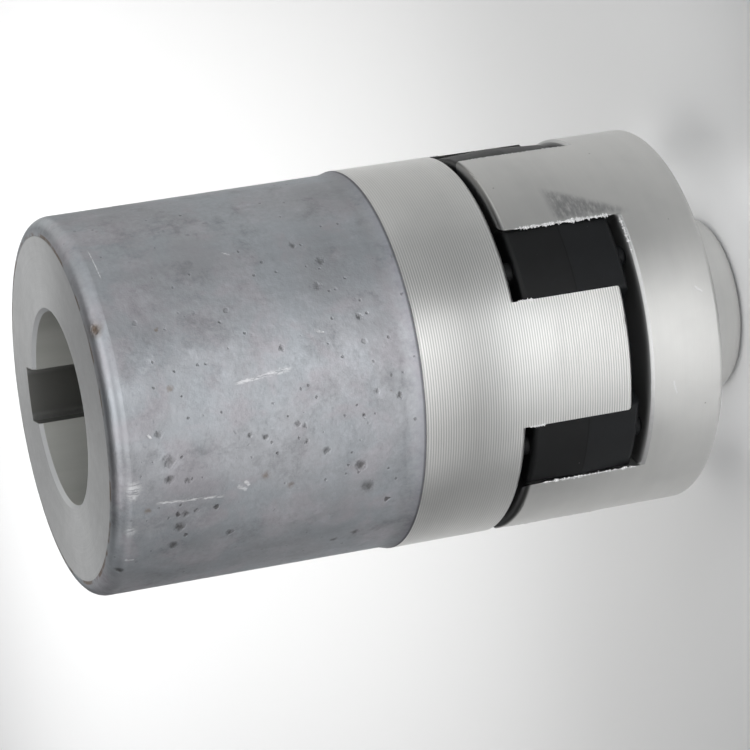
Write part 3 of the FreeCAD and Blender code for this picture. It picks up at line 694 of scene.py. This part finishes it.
def set_finish(piece, material):
    piece.data.materials.clear()
    piece.data.materials.append(material)


def carry(piece):
    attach(piece, "root")


def turned_copy(piece, angle):
    """A copy with its own mesh, turned about the shaft axis."""
    copy = piece.copy()
    copy.data = piece.data.copy()
    bpy.context.scene.collection.objects.link(copy)
    copy.data.transform(Matrix.Rotation(math.radians(angle), 4, "Z"))
    return copy


def add_bead(radius, height, width, proud, start, span, steps):
    """A rib of diamond section round the shaft axis, from one angle through a span, in degrees."""
    start_clean()
    bpy.ops.mesh.primitive_circle_add(
        vertices=4, radius=1.0, fill_type="NGON", location=(0, 0, 0), rotation=(math.pi / 2, 0, 0))
    settle(bpy.context.active_object)
    piece = bpy.context.active_object
    piece.data.transform(Matrix.Diagonal((proud * MM, 1, width / 2 * MM, 1)))
    piece.data.transform(Matrix.Translation((radius * MM, 0, height * MM)))
    piece.data.transform(Matrix.Rotation(math.radians(start), 4, "Z"))
    bpy.ops.object.mode_set(mode="EDIT")
    bpy.ops.mesh.select_all(action="SELECT")
    bpy.ops.mesh.spin(
        steps=steps, angle=math.radians(span), center=(0, 0, 0), axis=(0, 0, 1))
    bpy.ops.mesh.select_all(action="SELECT")
    bpy.ops.mesh.remove_doubles(threshold=1e-7)
    bpy.ops.mesh.normals_make_consistent(inside=False)
    bpy.ops.object.mode_set(mode="OBJECT")
    return piece


def add_burr(steps, size, seed, first, last):
    """A torn lip of metal between two points, each given by distance from the axis, angle and height."""

    def run(share):
        return Vector(at(*[start + (end - start) * share for start, end in zip(first, last)]))

    start_clean()
    bpy.ops.mesh.primitive_grid_add(x_subdivisions=steps, y_subdivisions=6, size=1.0)
    piece = bpy.context.active_object
    chance = random.Random(seed)
    swells = [chance.random() ** 1.6 for _ in range(steps + 1)]
    for vertex in piece.data.vertices:
        share = vertex.co.x + 0.5
        column = round(share * steps)
        roll = 2 * math.pi * (vertex.co.y + 0.5)
        middle = run(share)
        along = (run(share + 0.01) - run(share - 0.01)).normalized()
        outwards = Vector((middle.x, middle.y, 0)).normalized()
        across = along.cross(outwards)
        ends = min(1.0, 10 * share, 10 * (1 - share))
        tear = random.Random(seed * 7919 + column * 6 + round(roll)).random()
        swell = size * ends * (0.15 + 0.85 * swells[column]) * (0.55 + 0.9 * tear)
        vertex.co = middle + (across * math.cos(roll) * 1.5 + outwards * math.sin(roll) * 0.8) * swell
    bpy.ops.object.mode_set(mode="EDIT")
    bpy.ops.mesh.select_all(action="SELECT")
    bpy.ops.mesh.remove_doubles(threshold=1e-6)
    bpy.ops.mesh.normals_make_consistent(inside=False)
    bpy.ops.object.mode_set(mode="OBJECT")
    return piece


def at(radius, angle, height):
    """A point by its distance from the axis, its angle in degrees and its height, in millimetres."""
    turn = math.radians(angle)
    return (radius * math.cos(turn) * MM, radius * math.sin(turn) * MM, height * MM)


# Operators


class FinishOperator:
    """What the coupling's operators share."""

    bl_options = {"REGISTER", "UNDO"}


class COUPLING_OT_finish_hubs(FinishOperator, bpy.types.Operator):
    """Give both hubs their cast and turned metal"""

    bl_idname = "coupling.finish_hubs"
    bl_label = "Finish Hubs"

    def execute(self, context):
        casting = context.scene.coupling_casting
        turning = context.scene.coupling_turning
        set_finish(nodes["long_hub"], make_cast_hub_finish(casting, turning))
        set_finish(nodes["short_hub"], make_turned_hub_finish(turning, casting))
        return {"FINISHED"}


class COUPLING_OT_finish_spider(FinishOperator, bpy.types.Operator):
    """Give the spider its black elastomer and the flash of its mould"""

    bl_idname = "coupling.finish_spider"
    bl_label = "Finish Spider"

    def execute(self, context):
        spider = context.scene.coupling_spider
        material = make_elastomer_finish(spider)
        set_finish(nodes["spider"], material)
        rim = spider_high.x / MM
        width = spider.flash_width / MM
        proud = spider.flash_height / MM
        flash = add_bead(rim - 0.01, PARTING, width, proud, -10.8, 21.6, 24)
        chance = random.Random(5)
        for vertex in flash.data.vertices:
            vertex.co.z += (chance.random() - 0.5) * 0.05 * MM
        pieces = [flash] + [turned_copy(flash, 60 * leg) for leg in range(1, LEGS)]
        pieces.append(add_bead(SPIDER_HOLE, PARTING, width, proud, 0, 360, 96))
        piece = join_pieces(pieces, "spider_mould_flash")
        set_finish(piece, material)
        carry(piece)
        return {"FINISHED"}


class COUPLING_OT_add_burrs(FinishOperator, bpy.types.Operator):
    """Add the torn burrs that the cutter left along the jaws' edges"""

    bl_idname = "coupling.add_burrs"
    bl_label = "Add Burrs"

    def execute(self, context):
        burrs = context.scene.coupling_burrs
        material = make_burr_finish(burrs)
        size = burrs.size
        skin = OUTER + 0.02
        runs = []
        for third in range(3):
            turn = 120 * third - 90
            for side, share in ((1, 0.95 if third == 0 else 0.5), (-1, 0.85 if third == 0 else 0.3)):
                edge = turn + side * (JAW_MIDDLE + JAW_EDGE)
                runs.append((
                    90, size * share, (skin, edge, SHORT_TIP - 2.0), (skin, edge, GAP_LOW + 0.6)))
            corner = turn + JAW_MIDDLE + JAW_EDGE
            runs.append((
                60, size * 0.6, (skin - 0.2, corner - 0.8, GAP_LOW), (skin - 0.2, corner - 14, GAP_LOW)))
            for side in (-1, 1):
                edge = turn + side * (JAW_MIDDLE - JAW_EDGE)
                runs.append((
                    20, size * 0.7, (skin, edge, GAP_HIGH - 0.5), (skin, edge, GAP_HIGH - 3.0)))
        lips = []
        for seed, (steps, swell, first, last) in enumerate(runs, 3):
            lips.append(add_burr(steps, swell, seed, first, last))
        piece = join_pieces(lips, "jaw_burrs")
        set_finish(piece, material)
        carry(piece)
        return {"FINISHED"}


class COUPLING_OT_finish_screws(FinishOperator, bpy.types.Operator):
    """Give the set screws their black oxide and cut the threads of their holes"""

    bl_idname = "coupling.finish_screws"
    bl_label = "Finish Screws"

    def add_thread(self, name, radius, pitch, height, low, high):
        """A helical crest on a hole's wall, from one depth along +Y to another."""
        start_clean()
        bpy.ops.mesh.primitive_circle_add(
            vertices=4, radius=1.0, fill_type="NOTHING", rotation=(math.pi / 2, 0, 0))
        piece = bpy.context.active_object
        settle(piece)
        piece.data.transform(Matrix.Diagonal((pitch * 0.42 * MM, 1, pitch * 0.4 * MM, 1)))
        piece.data.transform(Matrix.Translation((radius * MM, 0, 0)))
        bpy.ops.object.modifier_add(type="SCREW")
        screw = piece.modifiers["Screw"]
        screw.screw_offset = pitch * MM
        screw.iterations = max(1, int((high - low) / pitch))
        screw.steps = screw.render_steps = 40
        screw.use_merge_vertices = True
        screw.merge_threshold = 1e-7
        bpy.ops.object.modifier_apply(modifier="Screw")
        bpy.ops.object.mode_set(mode="EDIT")
        bpy.ops.mesh.select_all(action="SELECT")
        bpy.ops.mesh.fill_holes(sides=4)
        bpy.ops.mesh.select_all(action="SELECT")
        bpy.ops.mesh.normals_make_consistent(inside=False)
        bpy.ops.object.mode_set(mode="OBJECT")
        piece.rotation_euler = (-math.pi / 2, 0, 0)
        piece.location = (0, (low + pitch * 0.4) * MM, height * MM)
        settle(piece)
        return name_piece(name)

    def execute(self, context):
        threads = context.scene.coupling_threads
        material = make_screw_finish(threads)
        thread_material = make_thread_finish(context.scene.coupling_turning)
        for name in ("long_hub_screw", "short_hub_screw"):
            set_finish(nodes[name], material)
        long_height = (long_screw_low.z + long_screw_high.z) / 2 / MM
        short_height = (short_screw_low.z + short_screw_high.z) / 2 / MM
        holes = (
            ("long_screw_thread", long_screw_high.x / MM + 0.05, threads.long_pitch / MM, long_height,
             long_screw_high.y / MM, 26.9, "cast_alloy"),
            ("short_screw_thread", short_screw_high.x / MM + 0.05, threads.short_pitch / MM, short_height,
             short_screw_high.y / MM, 27.4, "turned_alloy"),
        )
        for name, radius, pitch, height, low, high, slot in holes:
            piece = self.add_thread(name, radius, pitch, height, low, high)
            set_finish(piece, thread_material)
            carry(piece)
        return {"FINISHED"}


class COUPLING_OT_set_stage(FinishOperator, bpy.types.Operator):
    """Set up the floor, the studio lights and the camera"""

    bl_idname = "coupling.set_stage"
    bl_label = "Set Stage"

    def add_softbox(self, name, place, width, height, glow, target, spread, tint):
        """A rectangular light at a place in millimetres that faces a target."""
        place, target = Vector(place), Vector(target)
        bpy.ops.object.light_add(type="AREA", location=place * MM)
        lamp = bpy.context.active_object
        lamp.name = name
        lamp.data.shape = "RECTANGLE"
        lamp.data.size = width * MM
        lamp.data.size_y = height * MM
        lamp.data.spread = math.radians(spread)
        lamp.data.color = tint
        lamp.data.energy = glow * math.pi * width * height * MM * MM
        if target.xy != place.xy:
            lamp.rotation_euler = (target - place).to_track_quat("-Z", "Y").to_euler()
        lamp.visible_camera = False

    def execute(self, context):
        stage = context.scene.coupling_stage
        start_clean()
        bpy.ops.mesh.primitive_plane_add(size=6.0, location=(0, 0, short_low.z))
        floor = name_piece("floor")
        set_finish(floor, make_floor_finish(stage))

        world = bpy.data.worlds.new("studio")
        world.use_nodes = True
        back = world.node_tree.nodes["Background"]
        back.inputs["Color"].default_value = (0.97, 0.985, 1.0, 1)
        back.inputs["Strength"].default_value = stage.world_glow
        context.scene.world = world

        for number, (azimuth, glow) in enumerate(FRONT_ARC, 1):
            turn = math.radians(azimuth)
            place = (FRONT_REACH * math.cos(turn), FRONT_REACH * math.sin(turn), FRONT_HEIGHT)
            self.add_softbox(
                "front_softbox_%d" % number, place, 80, 200, glow, (0, 0, FRONT_HEIGHT), 60, WHITE)
        for softbox in SOFTBOXES:
            self.add_softbox(*softbox)

        camera_data = bpy.data.cameras.new("camera")
        camera_data.lens = stage.lens
        camera_data.sensor_width = 36.0
        camera_data.clip_start = 0.01
        camera = bpy.data.objects.new("camera", camera_data)
        context.scene.collection.objects.link(camera)
        right = Vector((-0.10677, -0.33983, -0.93441))
        up = Vector((0.98081, 0.11817, -0.15505))
        back_way = Vector((0.16311, -0.93303, 0.32069))
        turn = Matrix((right, up, back_way)).transposed().to_4x4()
        camera.matrix_world = Matrix.Translation((0.075366, -0.446202, 0.207525)) @ turn
        context.scene.camera = camera
        context.scene.view_settings.view_transform = "Standard"
        return {"FINISHED"}


class COUPLING_PT_panel(bpy.types.Panel):
    """The coupling's sizes, colours and steps"""

    bl_idname = "COUPLING_PT_panel"
    bl_label = "Elastic Coupling"
    bl_space_type = "VIEW_3D"
    bl_region_type = "UI"
    bl_category = "Coupling"

    def draw(self, context):
        for group, _ in GROUPS:
            settings = getattr(context.scene, group)
            box = self.layout.box()
            for name in settings.bl_rna.properties.keys():
                if name not in ("rna_type", "name"):
                    box.prop(settings, name)
        for operator in STEPS:
            self.layout.operator(operator.bl_idname)


GROUPS = (
    ("coupling_casting", CastingSettings),
    ("coupling_turning", TurningSettings),
    ("coupling_spider", SpiderSettings),
    ("coupling_burrs", BurrSettings),
    ("coupling_threads", ThreadSettings),
    ("coupling_stage", StageSettings),
)
STEPS = (
    COUPLING_OT_finish_hubs,
    COUPLING_OT_finish_spider,
    COUPLING_OT_add_burrs,
    COUPLING_OT_finish_screws,
    COUPLING_OT_set_stage,
)


def register():
    for name, group in GROUPS:
        bpy.utils.register_class(group)
        setattr(bpy.types.Scene, name, bpy.props.PointerProperty(type=group))
    for part in (*STEPS, COUPLING_PT_panel):
        bpy.utils.register_class(part)


def unregister():
    for part in (COUPLING_PT_panel, *reversed(STEPS)):
        bpy.utils.unregister_class(part)
    for name, group in reversed(GROUPS):
        delattr(bpy.types.Scene, name)
        bpy.utils.unregister_class(group)


def main():
    register()
    bpy.ops.coupling.finish_hubs()
    bpy.ops.coupling.finish_spider()
    bpy.ops.coupling.add_burrs()
    bpy.ops.coupling.finish_screws()
    bpy.ops.coupling.set_stage()


if __name__ == "__main__":
    main()
